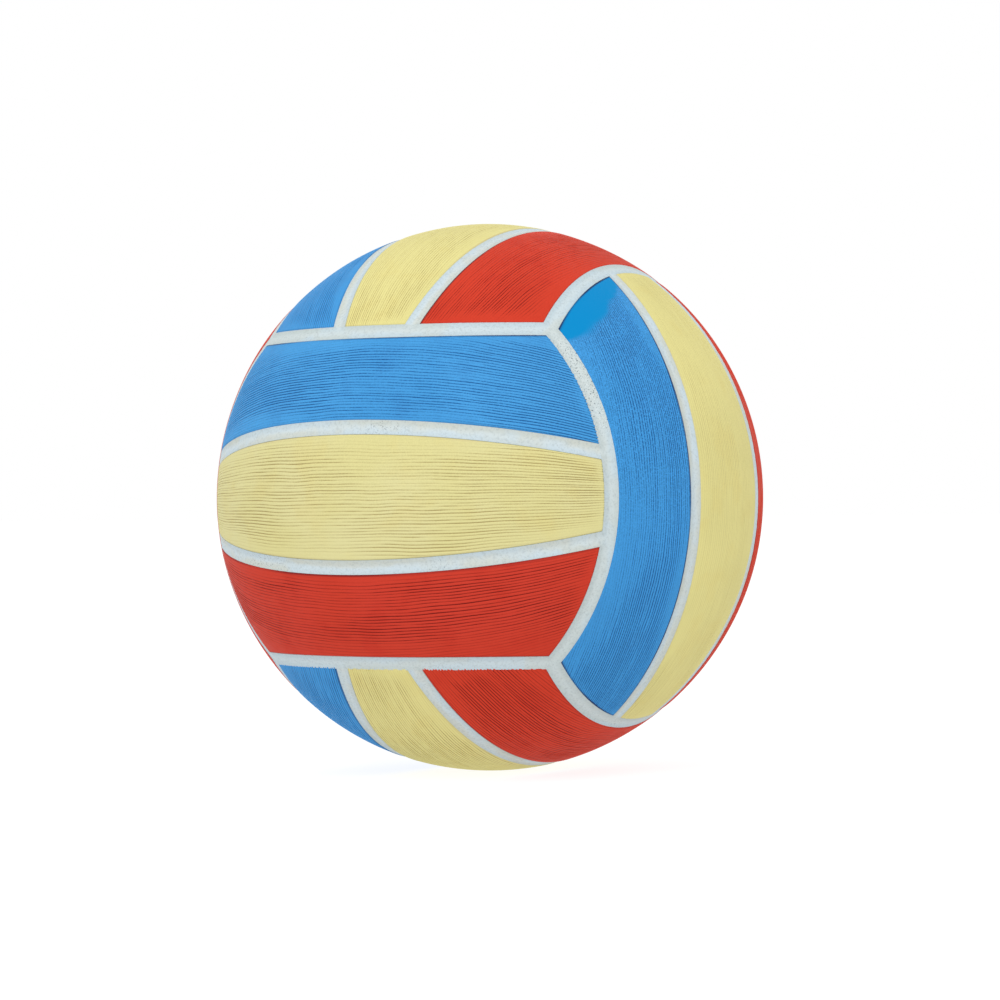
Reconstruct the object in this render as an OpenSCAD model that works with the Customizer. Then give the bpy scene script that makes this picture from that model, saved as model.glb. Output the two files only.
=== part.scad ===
// Water polo ball: a wound rubber ball under eighteen bonded cover panels, with
// white seam strips between them. The origin is the ball's centre and +Z is up.
// The middle of the front face is at -Y, the middle of the right face at +X, and
// the valve at +Y.

/* [Ball] */
// Circumference over the panels, the size that a ball is sold by
girth = 590; // [560:5:720]
// Thickness of a cover panel
panel_t = 1; // [0.8:0.1:2]
// Thickness of the white carcass rubber under the panels and seam strips
carcass_t = 0.6; // [0.4:0.1:1.5]
// Thickness of the nylon thread wound round the bladder
winding_t = 0.4; // [0.2:0.1:1]
// Thickness of the bladder's wall
bladder_t = 0.6; // [0.4:0.1:1.5]

/* [Seams] */
// Width of the white seam strips round the edges of a face
edge_seam_w = 5.2; // [3:0.2:8]
// Width of the white seam strips beside a face's middle panel
strip_seam_w = 4.8; // [3:0.2:8]
// Depth of the seam strips below the panels
seam_depth = 0.4; // [0.2:0.05:0.6]
// Angle from the middle of a face to the seam beside its middle panel
strip_angle = 14; // [11:0.5:17]
// Width of the sloped shoulder along the edges of a panel
shoulder_w = 0.8; // [0.4:0.1:2]

/* [Valve] */
// Depth of the valve's face below the panels
valve_recess = 0.3; // [0.1:0.05:0.6]
// Length of the valve's pocket, from its face inwards
pocket_l = 16; // [12:0.5:24]
// Thickness of the pocket's wall at its inner end
pocket_wall = 2; // [1:0.1:3]
// Width of the ring of valve rubber round the core's head
face_ring_w = 1.6; // [1:0.1:3]
// Radius of the valve's flange inside the bladder
flange_r = 15; // [12:0.5:22]
// Thickness of the flange
flange_t = 1.2; // [0.8:0.1:2]
// Height of the sloped root between the flange and the pocket
flange_root_h = 3; // [1:0.5:5]

/* [Valve core] */
// Radius of the core's stem
core_stem_r = 2.8; // [2.4:0.1:3.5]
// How far the core's head reaches past its stem
core_head_lip = 1.1; // [0.6:0.1:2]
// Thickness of the core's head
core_head_t = 1.5; // [1:0.1:3]
// How far the core's barb reaches past its stem
core_barb_lip = 0.9; // [0.4:0.1:1.5]
// Length of the barb below the pocket
core_barb_l = 4; // [2:0.5:6]
// Gap between the core and its pocket
core_gap = 0.05; // [0.02:0.01:0.1]
// Radius of the guide hole for the inflating needle
needle_hole_r = 1.2; // [1:0.05:1.5]
// Depth of the guide hole, below which the rubber is slit and closes by itself
needle_hole_l = 8; // [5:0.5:11]
// Width and depth of the lead-in at the hole's mouth
needle_lead = 0.6; // [0.3:0.1:1]

/* [Hidden] */
$fn = 96;

// Radius of each layer, from the outside in
ball_r = girth / (2 * PI);
seam_r = ball_r - seam_depth;
carcass_r = ball_r - panel_t;
winding_r = carcass_r - carcass_t;
bladder_r = winding_r - winding_t;
inner_r = bladder_r - bladder_t;
flange_inner_r = inner_r - flange_t;

// The edges of the six faces lie in the planes of the cube inscribed in the ball.
// This is the angle between a cube's axis and its corner.
edge_polar = acos(1 / sqrt(3));

// How far a cut runs past what it cuts
overrun = 1;

// The valve, measured from the ball's centre along its axis
valve_face_y = ball_r - valve_recess;
pocket_end_y = valve_face_y - pocket_l;
core_end_y = pocket_end_y - core_barb_l;
head_seat_y = valve_face_y - core_head_t;
core_head_r = core_stem_r + core_head_lip;
core_barb_r = core_stem_r + core_barb_lip;
head_bore_r = core_head_r + core_gap;
stem_bore_r = core_stem_r + core_gap;
neck_r = head_bore_r + face_ring_w;
pocket_end_r = stem_bore_r + pocket_wall;

blue = "#4a97d4";
yellow = "#e3da9a";
red = "#c93f31";
white = "#d5e3e4";
black = "#26282a";
butyl = "#34322f";
thread = "#e8e2cf";

// Hollow sphere between two radii
module shell(outer, inner) {
    difference() {
        sphere(r = outer);
        sphere(r = inner);
    }
}

// Point beside a seam, in the half plane of the axis that the seam goes round.
// It lies at a radius along the seam's middle and at a distance across from it,
// counted away from the pole.
function beside(polar, radius, across) =
    radius * [sin(polar), cos(polar)] + across * [cos(polar), -sin(polar)];

// Half section of all that lies on the pole's side of one wall of a seam. Side 1
// takes the far wall, so the seam is within, and side -1 the near wall. With a
// shoulder, the wall leans over the panel from the seam's floor upwards.
module pole_side(polar, width, side, shoulder) {
    low = carcass_r - overrun;
    high = ball_r + overrun;
    lean = shoulder ? shoulder_w * (high - seam_r) / seam_depth : 0;
    foot = beside(polar, low, side * width / 2);
    bend = beside(polar, seam_r, side * width / 2);
    tip = beside(polar, high, side * (width / 2 + lean));
    polygon([[0, min(0, foot[1])], foot, bend, tip, [tip[0], 2 * ball_r], [0, 2 * ball_r]]);
}

// The front face's part of the cover up to a radius, as wide as its panels are long
module end_cap(outer, shoulder) {
    rotate([90, 0, 0])
        rotate_extrude()
            intersection() {
                difference() {
                    circle(r = outer);
                    circle(r = carcass_r);
                }
                pole_side(edge_polar, edge_seam_w, -1, shoulder);
            }
}

// All above the front face's middle panel, with the seam over that panel
module above_middle() {
    rotate([-strip_angle, 0, 0])
        rotate_extrude()
            pole_side(90, strip_seam_w, 1, true);
}

// All below the front face's upper panel, with the seam under that panel
module below_outer() {
    rotate([180 - strip_angle, 0, 0])
        rotate_extrude()
            pole_side(90, strip_seam_w, 1, true);
}

// All above the front face, with the seam along its top edge
module above_face() {
    drop = edge_seam_w / 2 / sin(edge_polar);
    translate([0, 0, -drop])
        cylinder(r1 = 0, r2 = ball_r * tan(edge_polar), h = ball_r);
}

// Cone that leans over the upper panel from the floor of the seam above it
module top_shoulder() {
    bend = beside(edge_polar, seam_r, edge_seam_w / 2);
    tip = beside(edge_polar, ball_r, edge_seam_w / 2 + shoulder_w);
    spread = (tip[0] - bend[0]) / (bend[1] - tip[1]);
    translate([0, 0, -ball_r])
        cylinder(r1 = bend[0] + spread * (bend[1] + ball_r), r2 = 0,
                 h = bend[1] + ball_r + bend[0] / spread);
}

// Middle panel of the front face
module middle_panel() {
    difference() {
        end_cap(ball_r, true);
        above_middle();
        mirror([0, 0, 1]) above_middle();
    }
}

// Upper panel of the front face
module outer_panel() {
    intersection() {
        difference() {
            end_cap(ball_r, true);
            above_face();
            below_outer();
        }
        top_shoulder();
    }
}

// Lower panel of the front face
module opposite_panel() {
    mirror([0, 0, 1]) outer_panel();
}

// Seam strip between the front face's middle and upper panels
module inner_strip() {
    intersection() {
        end_cap(seam_r, false);
        rotate([-strip_angle, 0, 0])
            cube([2 * ball_r, 2 * ball_r, strip_seam_w], center = true);
    }
}

// All past the mitres at the right end of the front face's top edge, where the
// strips of three edges meet at the cube's corner
module past_corner() {
    rotate([0, acos(1 / sqrt(6)), atan2(2, 1)])
        translate([-ball_r, -ball_r, 0])
            cube(2 * ball_r);
    rotate([0, acos(-1 / sqrt(6)), atan2(1, 2)])
        translate([-ball_r, -ball_r, 0])
            cube(2 * ball_r);
}

// Seam strip along the front face's top edge
module edge_strip() {
    difference() {
        rotate_extrude()
            intersection() {
                difference() {
                    circle(r = seam_r);
                    circle(r = carcass_r);
                }
                rotate(90 - edge_polar)
                    translate([carcass_r - overrun, -edge_seam_w / 2])
                        square([panel_t + 2 * overrun, edge_seam_w]);
            }
        past_corner();
        mirror([1, 0, 0]) past_corner();
    }
}

// The strips that lie the same way below the middle of the front face
module opposite_inner_strip() {
    mirror([0, 0, 1]) inner_strip();
}

module opposite_edge_strip() {
    mirror([0, 0, 1]) edge_strip();
}

// Each face is the front one turned. What is above on the front and the back is
// to the right on the top and the bottom, and to the rear on the sides.
module on_back() {
    rotate([0, 0, 180]) children();
}

module on_bottom() {
    rotate([90, 0, 90]) children();
}

module on_top() {
    on_bottom() on_back() children();
}

module on_left() {
    on_bottom() on_bottom() children();
}

module on_right() {
    on_left() on_back() children();
}

// Turns what is drawn along Z to the valve's axis, +Y
module on_valve_axis() {
    rotate([-90, 0, 0]) children();
}

// Space that the valve's neck takes through the layers of the ball
module neck_hole() {
    on_valve_axis()
        translate([0, 0, flange_inner_r])
            cylinder(r = neck_r, h = ball_r + overrun - flange_inner_r);
}

module bladder() {
    color(butyl)
        difference() {
            shell(bladder_r, inner_r);
            neck_hole();
        }
}

module thread_winding() {
    color(thread)
        difference() {
            shell(winding_r, bladder_r);
            neck_hole();
        }
}

module white_carcass() {
    color(white)
        difference() {
            shell(carcass_r, winding_r);
            neck_hole();
        }
}

// Neck, pocket and flange in one moulding, bonded to the inside of the bladder
module valve_housing() {
    root_top = flange_inner_r;
    root_bottom = flange_inner_r - flange_root_h;
    color(black)
        difference() {
            union() {
                intersection() {
                    sphere(r = valve_face_y);
                    on_valve_axis()
                        translate([0, 0, root_bottom])
                            cylinder(r = neck_r, h = ball_r - root_bottom);
                }
                intersection() {
                    shell(inner_r, flange_inner_r);
                    on_valve_axis()
                        cylinder(r = flange_r, h = ball_r);
                }
                on_valve_axis()
                    translate([0, 0, root_bottom])
                        cylinder(r1 = neck_r, r2 = neck_r + flange_root_h, h = flange_root_h);
                on_valve_axis()
                    translate([0, 0, pocket_end_y])
                        cylinder(r1 = pocket_end_r, r2 = neck_r, h = root_bottom - pocket_end_y);
            }
            on_valve_axis() {
                translate([0, 0, pocket_end_y - overrun])
                    cylinder(r = stem_bore_r, h = pocket_l + 2 * overrun);
                translate([0, 0, head_seat_y])
                    cylinder(r = head_bore_r, h = core_head_t + overrun);
            }
        }
}

// Rubber plug that the inflating needle goes through
module valve_core() {
    color(butyl)
        difference() {
            intersection() {
                sphere(r = valve_face_y);
                on_valve_axis() {
                    translate([0, 0, head_seat_y])
                        cylinder(r = core_head_r, h = core_head_t + overrun);
                    translate([0, 0, core_end_y])
                        cylinder(r = core_stem_r, h = head_seat_y - core_end_y);
                    translate([0, 0, core_end_y])
                        cylinder(r1 = core_stem_r, r2 = core_barb_r, h = core_barb_l);
                }
            }
            on_valve_axis() {
                translate([0, 0, valve_face_y - needle_hole_l])
                    cylinder(r = needle_hole_r, h = needle_hole_l + overrun);
                translate([0, 0, valve_face_y - needle_lead])
                    cylinder(r1 = needle_hole_r, r2 = needle_hole_r + 2 * needle_lead,
                             h = 2 * needle_lead);
            }
        }
}

module front_upper_panel() {
    color(blue) outer_panel();
}

module front_middle_panel() {
    color(yellow) middle_panel();
}

module front_lower_panel() {
    color(red) opposite_panel();
}

module back_upper_panel() {
    color(blue) on_back() outer_panel();
}

module back_middle_panel() {
    color(yellow)
        difference() {
            on_back() middle_panel();
            neck_hole();
        }
}

module back_lower_panel() {
    color(red) on_back() opposite_panel();
}

module top_left_panel() {
    color(blue) on_top() opposite_panel();
}

module top_middle_panel() {
    color(yellow) on_top() middle_panel();
}

module top_right_panel() {
    color(red) on_top() outer_panel();
}

module bottom_left_panel() {
    color(blue) on_bottom() opposite_panel();
}

module bottom_middle_panel() {
    color(yellow) on_bottom() middle_panel();
}

module bottom_right_panel() {
    color(red) on_bottom() outer_panel();
}

module right_front_panel() {
    color(blue) on_right() opposite_panel();
}

module right_middle_panel() {
    color(yellow) on_right() middle_panel();
}

module right_rear_panel() {
    color(red) on_right() outer_panel();
}

module left_front_panel() {
    color(red) on_left() opposite_panel();
}

module left_middle_panel() {
    color(yellow) on_left() middle_panel();
}

module left_rear_panel() {
    color(blue) on_left() outer_panel();
}

module front_upper_seam_strip() {
    color(white) inner_strip();
}

module front_lower_seam_strip() {
    color(white) opposite_inner_strip();
}

module front_top_edge_strip() {
    color(white) edge_strip();
}

module front_bottom_edge_strip() {
    color(white) opposite_edge_strip();
}

module back_upper_seam_strip() {
    color(white) on_back() inner_strip();
}

module back_lower_seam_strip() {
    color(white) on_back() opposite_inner_strip();
}

module back_top_edge_strip() {
    color(white) on_back() edge_strip();
}

module back_bottom_edge_strip() {
    color(white) on_back() opposite_edge_strip();
}

module top_right_seam_strip() {
    color(white) on_top() inner_strip();
}

module top_left_seam_strip() {
    color(white) on_top() opposite_inner_strip();
}

module top_right_edge_strip() {
    color(white) on_top() edge_strip();
}

module top_left_edge_strip() {
    color(white) on_top() opposite_edge_strip();
}

module bottom_right_seam_strip() {
    color(white) on_bottom() inner_strip();
}

module bottom_left_seam_strip() {
    color(white) on_bottom() opposite_inner_strip();
}

module bottom_right_edge_strip() {
    color(white) on_bottom() edge_strip();
}

module bottom_left_edge_strip() {
    color(white) on_bottom() opposite_edge_strip();
}

module right_rear_seam_strip() {
    color(white) on_right() inner_strip();
}

module right_front_seam_strip() {
    color(white) on_right() opposite_inner_strip();
}

module right_rear_edge_strip() {
    color(white) on_right() edge_strip();
}

module right_front_edge_strip() {
    color(white) on_right() opposite_edge_strip();
}

module left_rear_seam_strip() {
    color(white) on_left() inner_strip();
}

module left_front_seam_strip() {
    color(white) on_left() opposite_inner_strip();
}

module left_rear_edge_strip() {
    color(white) on_left() edge_strip();
}

module left_front_edge_strip() {
    color(white) on_left() opposite_edge_strip();
}

bladder();
thread_winding();
white_carcass();
valve_housing();
valve_core();
front_upper_panel();
front_middle_panel();
front_lower_panel();
back_upper_panel();
back_middle_panel();
back_lower_panel();
top_left_panel();
top_middle_panel();
top_right_panel();
bottom_left_panel();
bottom_middle_panel();
bottom_right_panel();
right_front_panel();
right_middle_panel();
right_rear_panel();
left_front_panel();
left_middle_panel();
left_rear_panel();
front_upper_seam_strip();
front_lower_seam_strip();
front_top_edge_strip();
front_bottom_edge_strip();
back_upper_seam_strip();
back_lower_seam_strip();
back_top_edge_strip();
back_bottom_edge_strip();
top_right_seam_strip();
top_left_seam_strip();
top_right_edge_strip();
top_left_edge_strip();
bottom_right_seam_strip();
bottom_left_seam_strip();
bottom_right_edge_strip();
bottom_left_edge_strip();
right_rear_seam_strip();
right_front_seam_strip();
right_rear_edge_strip();
right_front_edge_strip();
left_rear_seam_strip();
left_front_seam_strip();
left_rear_edge_strip();
left_front_edge_strip();
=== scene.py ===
"""A water polo ball of eighteen ribbed rubber panels with white seam strips between them."""

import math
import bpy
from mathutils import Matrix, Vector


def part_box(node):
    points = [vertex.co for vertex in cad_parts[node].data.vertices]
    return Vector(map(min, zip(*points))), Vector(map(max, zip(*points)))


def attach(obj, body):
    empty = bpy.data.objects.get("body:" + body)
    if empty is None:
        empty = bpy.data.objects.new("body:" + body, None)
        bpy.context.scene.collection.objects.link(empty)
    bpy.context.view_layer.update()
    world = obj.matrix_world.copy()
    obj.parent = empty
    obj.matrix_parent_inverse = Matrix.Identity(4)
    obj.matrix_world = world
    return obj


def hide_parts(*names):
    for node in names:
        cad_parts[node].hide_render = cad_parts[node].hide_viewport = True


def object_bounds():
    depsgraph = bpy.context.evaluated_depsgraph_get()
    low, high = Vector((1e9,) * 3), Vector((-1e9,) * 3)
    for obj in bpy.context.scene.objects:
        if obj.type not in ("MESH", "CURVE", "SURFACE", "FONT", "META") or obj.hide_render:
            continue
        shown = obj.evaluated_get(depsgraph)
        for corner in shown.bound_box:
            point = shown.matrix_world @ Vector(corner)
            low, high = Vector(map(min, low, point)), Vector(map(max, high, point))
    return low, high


bl_info = {
    "name": "Water polo ball",
    "version": (1, 0, 0),
    "blender": (4, 5, 0),
    "location": "3D View > Sidebar > Ball",
    "description": "Dresses a water polo ball with ribbed panels, seam strips and rubber finishes",
    "category": "Object",
}

import bmesh
import bpy
import numpy as np
from mathutils import Matrix, Vector

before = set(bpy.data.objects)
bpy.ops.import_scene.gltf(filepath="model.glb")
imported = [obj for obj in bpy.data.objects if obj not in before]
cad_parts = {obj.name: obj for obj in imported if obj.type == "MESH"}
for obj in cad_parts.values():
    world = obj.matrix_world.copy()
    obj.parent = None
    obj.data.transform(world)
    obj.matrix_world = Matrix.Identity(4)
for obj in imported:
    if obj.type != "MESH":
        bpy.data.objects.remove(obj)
CAD_BOX = [list(corner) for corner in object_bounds()]

MM = 0.001
BODY = "root"

# Every face is the front one turned: the front looks to -Y, and its strips run along X
HALF_TURN = Matrix.Rotation(math.pi, 3, "Z")
TO_BOTTOM = Matrix(((0, 0, 1), (1, 0, 0), (0, 1, 0)))
TURNS = {
    "front": Matrix.Identity(3),
    "back": HALF_TURN,
    "top": TO_BOTTOM @ HALF_TURN,
    "bottom": TO_BOTTOM,
    "right": TO_BOTTOM @ TO_BOTTOM @ HALF_TURN,
    "left": TO_BOTTOM @ TO_BOTTOM,
}
# The words for the two sides of a face's middle strip, and for the edges beyond them.
# In the tables below, side 1 is the first of them, -1 the second and 0 the middle strip.
SIDES = {
    "front": (("upper", "top"), ("lower", "bottom")),
    "back": (("upper", "top"), ("lower", "bottom")),
    "top": (("right", "right"), ("left", "left")),
    "bottom": (("right", "right"), ("left", "left")),
    "right": (("rear", "rear"), ("front", "front")),
    "left": (("rear", "rear"), ("front", "front")),
}
# Which side of each face is blue; the other is red, and the middle is yellow
BLUE_SIDE = {
    "front": "upper",
    "back": "upper",
    "top": "left",
    "bottom": "left",
    "right": "front",
    "left": "rear",
}
# Angle from the middle of a face to its corners, and to the edge seams at the ends of its strips
EDGE_ANGLE = math.acos(1 / math.sqrt(3))

# How strong a panel's ribs are and how wide their pitch is, as shares, for those that differ
RIBBING = {
    ("front", 1): (2.0, 0.90),
    ("front", 0): (1.0, 1.0),
    ("front", -1): (1.1, 1.0),
    ("right", -1): (1.9, 0.82),
    ("right", 0): (0.40, 1.0),
    ("top", 1): (0.9, 0.90),
    ("top", 0): (0.7, 1.0),
    ("top", -1): (0.9, 1.0),
    ("bottom", 1): (1.5, 0.92),
    ("bottom", 0): (1.1, 1.0),
    ("bottom", -1): (1.3, 1.1),
    ("back", 0): (0.8, 1.0),
    ("left", 0): (0.7, 1.0),
}
USUAL_RIBBING = (1.0, 0.92)
# How far the ribs beside a face's middle follow the panel's outer edge, and not its inner seam
FANNING_SHARE = 0.38
# How far the ribs of a middle panel keep their distance, and don't close up towards its ends
PARALLEL_SHARE = 0.55

# How far the ribs stray sideways and over what length, slowly and quickly
RIB_DRIFT = 0.20 * MM
RIB_DRIFT_LENGTH = 50 * MM
RIB_WAVER = 0.05 * MM
RIB_WAVER_LENGTH = 12 * MM
# How far one groove may be shifted against the next, in pitches, and the most grooves of a panel
SHIFT_SHARE = 0.22
MOST_GROOVES = 400

# Strength of a groove: what all have, and what comes by the groove, the swell, the ripple and crumbs
GROOVE_BASE = 0.40
GROOVE_OWN = 0.36
GROOVE_SWELL = 0.13
GROOVE_RIPPLE = 0.09
GROOVE_CRUMB = 0.07
LEAST_GROOVE = 0.10
# The higher this power is, the fewer grooves are strong of their own
OWN_POWER = 1.3
# Least length and spread of the swells and ripples along a groove, and the length of the crumbs
SWELL_LENGTH = 30 * MM
SWELL_SPREAD = 70 * MM
RIPPLE_LENGTH = 8 * MM
RIPPLE_SPREAD = 16 * MM
CRUMB_LENGTH = 7 * MM
# How strong the grooves are at least and how much more in patches, by a field's low and high values
PATCH_BASE = 0.55
PATCH_RISE = 0.55
PATCH_LENGTH = 55 * MM
PATCH_FADE = (-1.5, 1.2)
# How strong they are in a panel's middle and how much more at its ends
ENDS_BASE = 0.80
ENDS_RISE = 0.55
# How much weaker they are by the outer edge, and between which shares of the width that comes on
OUTER_CALM_SHARE = 0.65
OUTER_CALM_SHARES = (0.60, 0.95)
# How steep the sides of a groove are
GROOVE_SHARPNESS = 1.8

# Between which distances from a rim the grooves grow to their strength, and how far and over what
# length, in ball radii, that wavers
CALM_FROM = -0.5 * MM
CALM_TO = 5.0 * MM
CALM_WAVER = 2.0 * MM
CALM_WAVER_LENGTH = 0.75
# What is left of them by the rim, and what more where the panel's ends are ragged
RIM_GROOVE = 0.05
RAGGED_RIM_GROOVE = 0.25
# Width in which the last of them fades at the rim, and how much further out that is at the ends
RIM_FADE = 0.9 * MM
END_FADE = 1.0 * MM
# Between which distances from the valve they grow to it, and how much of the wavering is in that
VALVE_CALM_FROM = 11.0 * MM
VALVE_CALM_TO = 15.0 * MM
VALVE_WAVER_SHARE = 0.3

# How much the skin of a panel is stippled
STIPPLED = {("right", -1): 1.0, ("front", 1): 0.35}
USUAL_STIPPLE = 0.22
# How much of that is left on the ball's underside, and how far above and below the ball's middle,
# in ball radii, it fades
LOW_STIPPLE_SHARE = 0.4
STIPPLE_FADE = 0.3
# The face whose panels came out paler
PALE_FACE = "front"

# How ragged the ends of a panel are and how fully its ribs reach its rim, as a share
RAGGED = {
    ("front", 1): 0.75,
    ("bottom", 1): 1.0,
    ("bottom", 0): 0.8,
    ("bottom", -1): 1.0,
    ("top", 1): 0.0,
    ("top", 0): 0.1,
    ("top", -1): 0.1,
}
USUAL_RAGGED = 0.3
# From what share of a panel's half length its ends are ragged, how far the ribs stand out there and
# the grooves cut back, and their jitter
RAGGED_FROM_SHARE = 0.8
TOOTH_RISE = 0.40 * MM
TOOTH_CUT = 0.55 * MM
TOOTH_JITTER = 0.09 * MM
TOOTH_JITTER_LENGTH = 1.7 * MM

# How strongly a panel's rim is darkened along its inner seam, its outer edge and its ends
RIM_DARKENING = {
    ("right", -1): (1.0, 0.0, 1.0),
    ("front", 1): (0.1, 0.75, 0.1),
    ("front", -1): (0.6, 0.15, 0.1),
    ("top", 1): (0.9, 0.0, 0.0),
}
USUAL_RIM_DARKENING = (0.4, 0.25, 0.1)
# Width of the dark rim and the share of it that is full, and how far and over what length, in ball radii,
# its strength wavers
RIM_DARK_WIDTH = 1.0 * MM
RIM_DARK_FULL_SHARE = 0.25
RIM_DARK_WAVER = 0.45
RIM_DARK_WAVER_LENGTH = 0.45

# The panel whose upper end was pressed smooth, and how far the smooth part reaches in its middle
# and at its sides
PRESSED_PANEL = ("right", -1)
PRESSED_MIDDLE = 11.2 * MM
PRESSED_SIDE = 4.8 * MM
# How far and over what length, in ball radii, its border wavers, and between which shares of its
# reach it fades
PRESSED_WAVER = 0.5 * MM
PRESSED_WAVER_LENGTH = 0.11
PRESSED_FADE_SHARES = (0.80, 1.05)

# Steps of a panel's mesh along it and across it, and of its underside
PANEL_STEPS = 140
MIDDLE_ROWS = 220
SIDE_ROWS = 256
UNDERSIDE_STEPS = 30
UNDERSIDE_ROWS = 12
UNDERSIDE_SHARE = 0.94
# The steps past one share of a panel's half length crowd into the last share of it, at each end
CROWD_FROM_SHARE = 0.90
CROWD_SHARE = 0.02
# First guess of a point's place along its panel, and the rounds that close in on the true one
GUESS_SHARE = 0.6
ROUNDS = 30
# How far the rounded edge of a panel drops, as a share of the seams' depth
EDGE_DROP_SHARE = 1.1

# The hole in the back panel under the valve's pad, as shares of the panel's half length and half width
PAD_HOLE_SHARES = (0.103, 0.41)
# Size of the pad, the radius of its rounded rims, how far it lies below the panel, and its steps
PAD_RADIUS = 10.4 * MM
PAD_LIP = 0.6 * MM
PAD_SINK = 0.03 * MM
PAD_LIP_STEPS = 6
PAD_STEPS = 7
PAD_TURN_STEPS = 96

# Steps of a seam strip across and along it, and the angles that it sweeps before its ends are cut
SECTION_STEPS = 18
STRIP_STEPS = 300
EDGE_SWEEP = math.radians(100)
STRIP_SWEEP = math.radians(116)
# Normals of the planes that mitre the ends of a strip along a face's edge, two at each end
MITRES = ((1, 2, 1), (2, 1, -1), (-1, 2, 1), (-2, 1, -1))
# Edges of a strip that are sharper than this stay sharp
SHARP_ANGLE = math.radians(40)
# How deep below its top a strip's upper side reaches, where its surface is finished
UPPER_SKIN = 0.15 * MM
# Height of the fillets where the seams meet the panels, and where they start and end
FILLET = 0.28 * MM
FILLET_FROM = -0.6 * MM
FILLET_TO = 2.2 * MM
# Height of the seams' grain, and what more of it is where they are grainy
SEAM_GRAIN = 0.016 * MM
SUGAR_GRAIN = 0.035 * MM
# Lengths, in ball radii, of the grain's two fields, their number of waves and the share of the fine one
COARSE_GRAIN_LENGTH = 0.012
FINE_GRAIN_LENGTH = 0.007
GRAIN_WAVES = 9
FINE_GRAIN_SHARE = 0.8
# Middle and half sizes, in ball radii, of the grainy stretch of a seam, and the share of it that is full
GRAINY_PLACE = np.array((0.728, -0.568, 0.382))
GRAINY_REACH = np.array((0.50, 0.20, 0.21))
GRAINY_FULL_SHARE = 0.55

# Length, in ball radii, of the ball's slow unevenness
LUMP_LENGTH = 0.7


def radius_of(node):
    """Radius of a node that reaches all round the ball."""
    low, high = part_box(node)
    return max(high.x, high.z, -low.x, -low.z)


class BallSizes(bpy.types.PropertyGroup):
    """Sizes of the ball and of its cover."""

    radius: bpy.props.FloatProperty(
        name="Radius",
        description="Radius of the ball over its panels",
        default=-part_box("front_middle_panel")[0].y,
        unit="LENGTH",
        precision=5,
    )
    carcass_radius: bpy.props.FloatProperty(
        name="Carcass radius",
        description="Radius of the white rubber under the panels",
        default=radius_of("white_carcass"),
        unit="LENGTH",
        precision=5,
    )
    edge_seam: bpy.props.FloatProperty(
        name="Edge seam",
        description="Width of the seams between the faces",
        default=5.2 * MM,
        unit="LENGTH",
        precision=5,
    )
    strip_seam: bpy.props.FloatProperty(
        name="Strip seam",
        description="Width of the seams within a face",
        default=4.8 * MM,
        unit="LENGTH",
        precision=5,
    )
    seam_depth: bpy.props.FloatProperty(
        name="Seam depth",
        description="Depth of the seams below the panels",
        default=0.4 * MM,
        unit="LENGTH",
        precision=5,
    )
    strip_angle: bpy.props.FloatProperty(
        name="Strip angle",
        description="Angle from the middle of a face to its inner seams",
        default=math.radians(14),
        unit="ROTATION",
    )
    shoulder: bpy.props.FloatProperty(
        name="Shoulder",
        description="Width of the rounded edge of a panel",
        default=0.7 * MM,
        unit="LENGTH",
        precision=5,
    )
    rib_pitch: bpy.props.FloatProperty(
        name="Rib pitch",
        description="Distance between the grip ribs",
        default=1.12 * MM,
        unit="LENGTH",
        precision=5,
    )
    rib_depth: bpy.props.FloatProperty(
        name="Rib depth",
        description="Depth of the deepest grooves between the ribs",
        default=0.2 * MM,
        unit="LENGTH",
        precision=5,
    )
    lumps: bpy.props.FloatProperty(
        name="Lumps",
        description="Depth of the slow unevenness of the whole surface",
        default=0.22 * MM,
        unit="LENGTH",
        precision=5,
    )
    neck_radius: bpy.props.FloatProperty(
        name="Neck radius",
        description="Radius of the hole in the back panel that the valve's neck fills",
        default=5.55 * MM,
        unit="LENGTH",
        precision=5,
    )


class BallColours(bpy.types.PropertyGroup):
    """Colours of the rubbers."""

    blue: bpy.props.FloatVectorProperty(
        name="Blue",
        description="Blue panels",
        subtype="COLOR",
        size=3,
        default=(0.061, 0.342, 0.755),
    )
    yellow: bpy.props.FloatVectorProperty(
        name="Yellow",
        description="Yellow panels",
        subtype="COLOR",
        size=3,
        default=(0.830, 0.760, 0.310),
    )
    red: bpy.props.FloatVectorProperty(
        name="Red",
        description="Red panels",
        subtype="COLOR",
        size=3,
        default=(0.705, 0.053, 0.024),
    )
    white: bpy.props.FloatVectorProperty(
        name="White",
        description="Seam strips and carcass",
        subtype="COLOR",
        size=3,
        default=(0.640, 0.730, 0.745),
    )


class Value:
    """A shader number that Python's operators build Math nodes on."""

    def __init__(self, paint, socket):
        self.paint = paint
        self.socket = socket

    def maths(self, operation, first, second=0.0):
        return self.paint.node("ShaderNodeMath", {"operation": operation}, {0: first, 1: second}).value(0)

    def __add__(self, other):
        return self.maths("ADD", self, other)

    def __radd__(self, other):
        return self.maths("ADD", other, self)

    def __sub__(self, other):
        return self.maths("SUBTRACT", self, other)

    def __rsub__(self, other):
        return self.maths("SUBTRACT", other, self)

    def __mul__(self, other):
        return self.maths("MULTIPLY", self, other)

    def __rmul__(self, other):
        return self.maths("MULTIPLY", other, self)

    def __pow__(self, other):
        return self.maths("POWER", self, other)

    def cosine(self):
        return self.maths("COSINE", self)

    def ramp(self, low, high):
        """0 up to low, 1 from high on, and a smooth rise between them."""
        settings = {"interpolation_type": "SMOOTHSTEP"}
        return self.paint.node("ShaderNodeMapRange", settings, {0: self, 1: low, 2: high}).value(0)


class Made:
    """A node that was just added."""

    def __init__(self, paint, node):
        self.paint = paint
        self.bare = node

    def value(self, name):
        return Value(self.paint, self.bare.outputs[name])


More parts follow.
